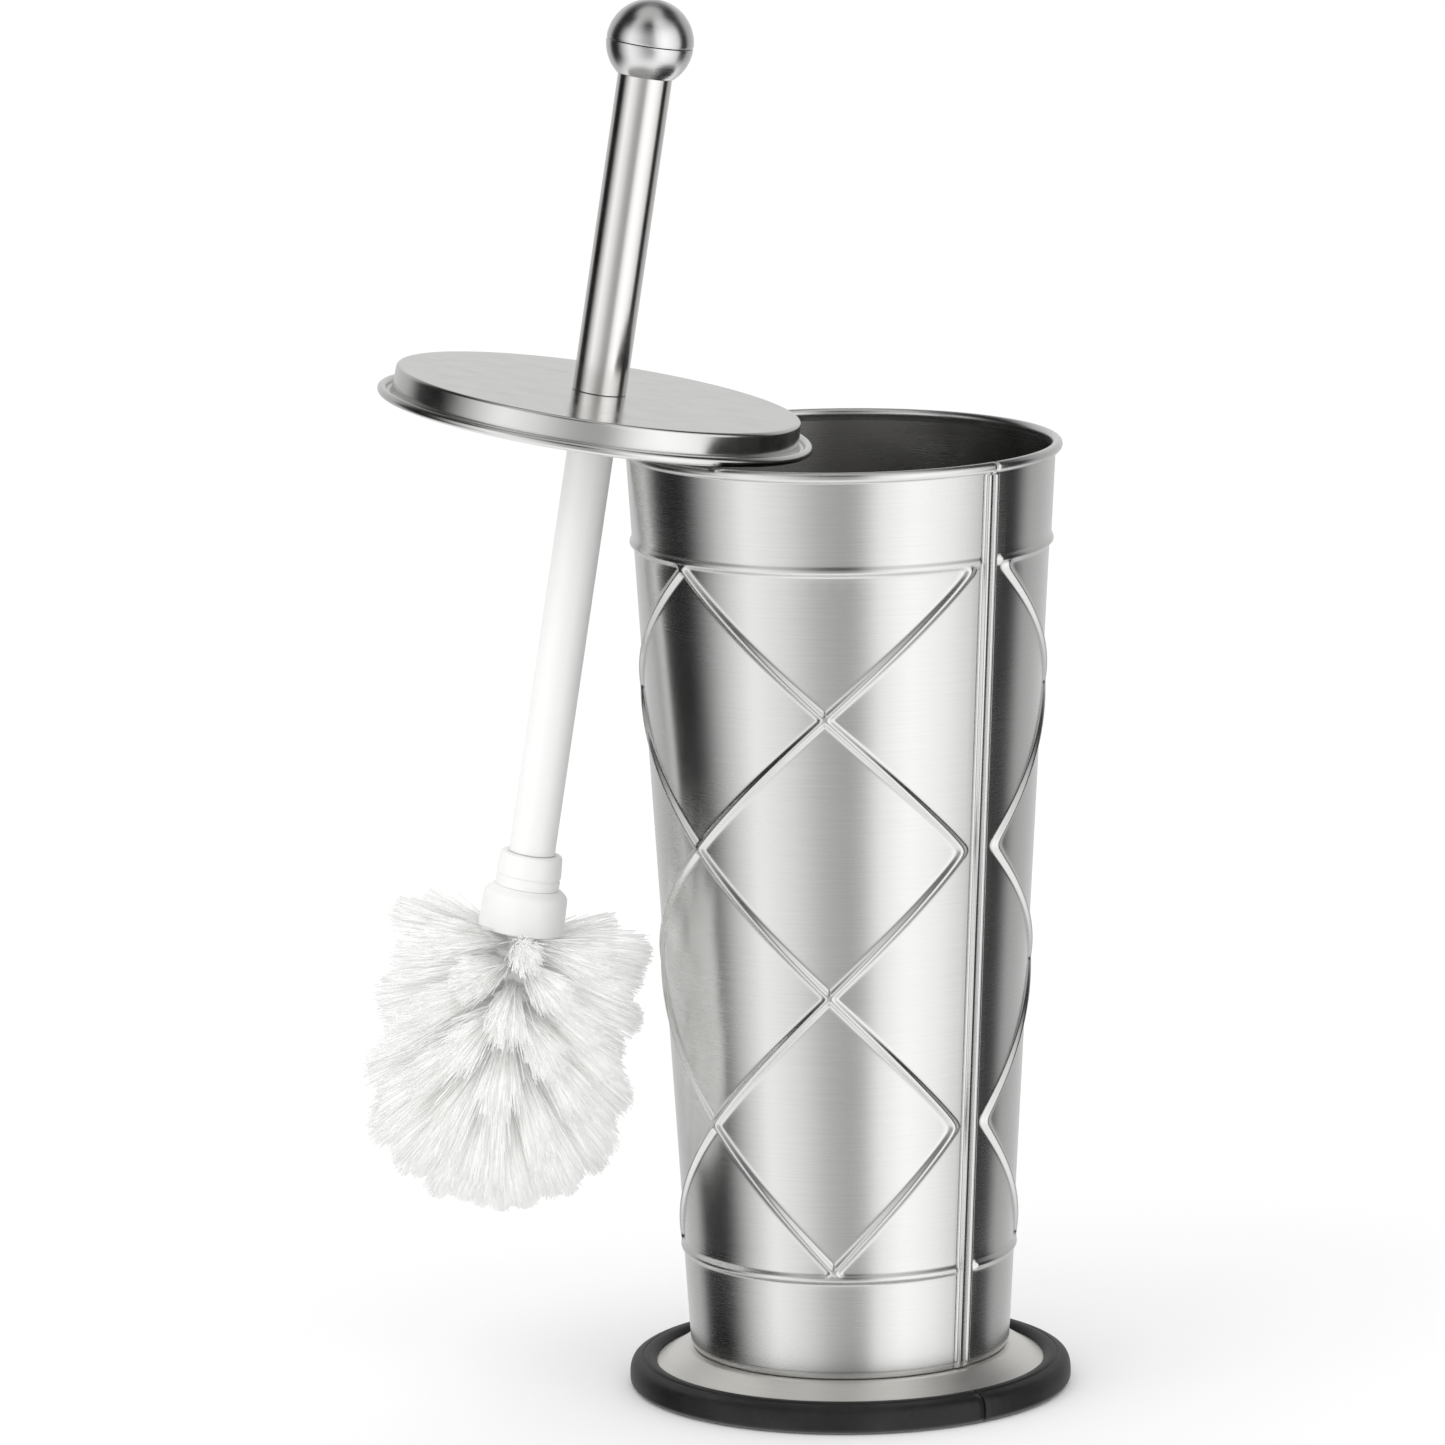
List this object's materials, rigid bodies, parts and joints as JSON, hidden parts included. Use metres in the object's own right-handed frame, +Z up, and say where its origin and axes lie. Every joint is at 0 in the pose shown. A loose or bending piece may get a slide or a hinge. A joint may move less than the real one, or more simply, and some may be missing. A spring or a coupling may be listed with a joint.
{
  "type": "toilet brush holder",
  "caption": "Tapered steel canister with pressed diamond ribs on a rubber-edged base, its brush hung on the rim by a round lid.",
  "frame": {"origin": "centre of the base's underside, on the floor, on the canister's axis", "axes": "+Z up along the canister's axis; the brush hangs on the -X side, its handle leaning towards +X in the XZ plane"},
  "size_m": [0.2056, 0.128, 0.4026],
  "materials": {
    "brushed_steel": "brushed round the wall",
    "polished_steel": "polished",
    "rubber": "matte black",
    "black_plastic": "matte black",
    "white_plastic": "satin white",
    "bristles": "translucent white filaments"
  },
  "bodies": {
    "holder": {"canister_wall": "brushed_steel", "canister_floor": "brushed_steel", "base_plate": "brushed_steel", "base_core": "black_plastic", "base_ring": "rubber", "base_rivet_1": "polished_steel", "base_rivet_2": "polished_steel", "base_rivet_3": "polished_steel"},
    "brush": {"lid": "polished_steel", "lid_washer": "rubber", "stem": "white_plastic", "stem_collar": "white_plastic", "stem_stud": "polished_steel"},
    "handle": {"handle_tube": "polished_steel", "handle_insert": "black_plastic", "knob_plug": "black_plastic", "knob_upper": "polished_steel", "knob_lower": "polished_steel"},
    "head": {"head_core": "white_plastic", "bristle_row_1": "bristles", "bristle_row_2": "bristles", "bristle_row_3": "bristles", "bristle_row_4": "bristles", "bristle_row_5": "bristles", "bristle_tip": "bristles"}
  },
  "joints": [
    {"name": "brush_lift", "type": "slide", "parent": "holder", "child": "brush", "axis": [-0.1736, 0, 0.9848], "range_m": [0, 0.3]},
    {"name": "handle_unscrew", "type": "hinge", "parent": "brush", "child": "handle", "pos_m": [-0.07, 0, 0.282], "axis": [0.1582, 0, 0.9874], "range_deg": [0, 720]},
    {"name": "head_unscrew", "type": "hinge", "parent": "brush", "child": "head", "pos_m": [-0.07, 0, 0.282], "axis": [0.1582, 0, 0.9874], "range_deg": [-720, 0]}
  ]
}
